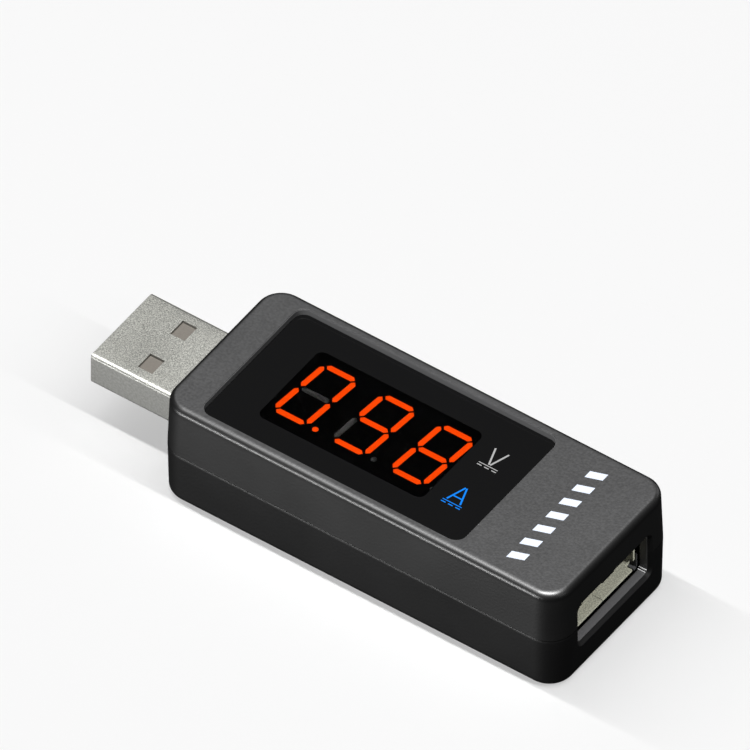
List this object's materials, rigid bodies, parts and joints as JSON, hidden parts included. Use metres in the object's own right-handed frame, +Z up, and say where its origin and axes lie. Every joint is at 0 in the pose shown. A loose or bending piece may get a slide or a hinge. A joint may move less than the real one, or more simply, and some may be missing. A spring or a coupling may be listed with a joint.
{
  "type": "usb power meter",
  "caption": "Pocket inline voltage and current meter with a type A plug at one end, a type A socket at the other and a red LED digit display in a two-part housing.",
  "frame": {"origin": "centre of the whole meter's footprint, on the surface that its underside lies on", "axes": "+X from the plug to the socket, +Y to the top of the digits, +Z up out of the display"},
  "size_m": [0.068, 0.023, 0.0148],
  "materials": {
    "upper_cover": "fine satin moulded plastic",
    "lower_cover": "fine satin moulded plastic",
    "smoked_window": "smoked acrylic, polished",
    "black_tape": "black foam tape",
    "display_black": "matt black moulding",
    "display_diffuser": "milky light guide",
    "lit_amber": "lit segment",
    "lit_blue": "lit symbol",
    "lit_white": "lit symbol",
    "white_print": "pad-printed ink",
    "board": "green solder mask",
    "chip_black": "moulded epoxy",
    "resistor_black": "glazed film on ceramic",
    "capacitor_tan": "ceramic with tinned ends",
    "lamp_white": "clear resin over a white base",
    "plug_steel": "bead-blasted nickel plate",
    "socket_steel": "nickel plate",
    "white_insulator": "glass-filled polymer",
    "gold_contact": "gold flash over nickel",
    "tinned_pin": "tinned wire"
  },
  "bodies": {
    "meter": {"top_shell": "upper_cover", "bottom_shell": "lower_cover", "display_window": "smoked_window", "window_tape": "black_tape", "display_case": "display_black", "display_light_guide": "display_diffuser", "display_board": "board", "main_board": "board", "microcontroller": "chip_black", "voltage_regulator": "chip_black", "shunt_resistor": "resistor_black", "divider_resistor_1": "resistor_black", "divider_resistor_2": "resistor_black", "series_resistor": "resistor_black", "input_capacitor": "capacitor_tan", "output_capacitor": "capacitor_tan", "filter_capacitor_1": "capacitor_tan", "filter_capacitor_2": "capacitor_tan", "indicator_led_volts": "lamp_white", "indicator_led_amps": "lamp_white", "indicator_shroud": "display_black", "plug_shell": "plug_steel", "plug_insulator": "white_insulator", "socket_shell": "socket_steel", "socket_insulator": "white_insulator", "display_pin_01": "tinned_pin", "display_pin_02": "tinned_pin", "display_pin_03": "tinned_pin", "display_pin_04": "tinned_pin", "display_pin_05": "tinned_pin", "display_pin_06": "tinned_pin", "display_pin_07": "tinned_pin", "display_pin_08": "tinned_pin", "display_pin_09": "tinned_pin", "display_pin_10": "tinned_pin", "display_pin_11": "tinned_pin", "display_pin_12": "tinned_pin", "plug_contact_1": "gold_contact", "plug_contact_2": "gold_contact", "plug_contact_3": "gold_contact", "plug_contact_4": "gold_contact", "socket_contact_tail_1": "gold_contact", "socket_contact_tail_2": "gold_contact", "socket_contact_tail_3": "gold_contact", "socket_contact_tail_4": "gold_contact"},
    "socket_contact_1": {"socket_contact_1": "gold_contact"},
    "socket_contact_2": {"socket_contact_2": "gold_contact"},
    "socket_contact_3": {"socket_contact_3": "gold_contact"},
    "socket_contact_4": {"socket_contact_4": "gold_contact"},
    "socket_finger_bottom_left": {"socket_finger_bottom_left": "socket_steel"},
    "socket_finger_top_left": {"socket_finger_top_left": "socket_steel"},
    "socket_finger_bottom_right": {"socket_finger_bottom_right": "socket_steel"},
    "socket_finger_top_right": {"socket_finger_top_right": "socket_steel"}
  },
  "joints": [
    {"name": "contact_1_flex", "type": "hinge", "parent": "meter", "child": "socket_contact_1", "pos_m": [0.024, -0.0035, 0.0075], "axis": [0, -1, 0], "range_deg": [0, 4], "stiffness_Nm_per_rad": 0.05},
    {"name": "contact_2_flex", "type": "hinge", "parent": "meter", "child": "socket_contact_2", "pos_m": [0.024, -0.001, 0.0075], "axis": [0, -1, 0], "range_deg": [0, 4], "stiffness_Nm_per_rad": 0.05},
    {"name": "contact_3_flex", "type": "hinge", "parent": "meter", "child": "socket_contact_3", "pos_m": [0.024, 0.001, 0.0075], "axis": [0, -1, 0], "range_deg": [0, 4], "stiffness_Nm_per_rad": 0.05},
    {"name": "contact_4_flex", "type": "hinge", "parent": "meter", "child": "socket_contact_4", "pos_m": [0.024, 0.0035, 0.0075], "axis": [0, -1, 0], "range_deg": [0, 4], "stiffness_Nm_per_rad": 0.05},
    {"name": "finger_bottom_left_flex", "type": "hinge", "parent": "meter", "child": "socket_finger_bottom_left", "pos_m": [0.02545, -0.00315, 0.0048], "axis": [0, 1, 0], "range_deg": [0, 4], "stiffness_Nm_per_rad": 0.08},
    {"name": "finger_top_left_flex", "type": "hinge", "parent": "meter", "child": "socket_finger_top_left", "pos_m": [0.02545, -0.00315, 0.01], "axis": [0, -1, 0], "range_deg": [0, 4], "stiffness_Nm_per_rad": 0.08},
    {"name": "finger_bottom_right_flex", "type": "hinge", "parent": "meter", "child": "socket_finger_bottom_right", "pos_m": [0.02545, 0.00315, 0.0048], "axis": [0, 1, 0], "range_deg": [0, 4], "stiffness_Nm_per_rad": 0.08},
    {"name": "finger_top_right_flex", "type": "hinge", "parent": "meter", "child": "socket_finger_top_right", "pos_m": [0.02545, 0.00315, 0.01], "axis": [0, -1, 0], "range_deg": [0, 4], "stiffness_Nm_per_rad": 0.08}
  ]
}
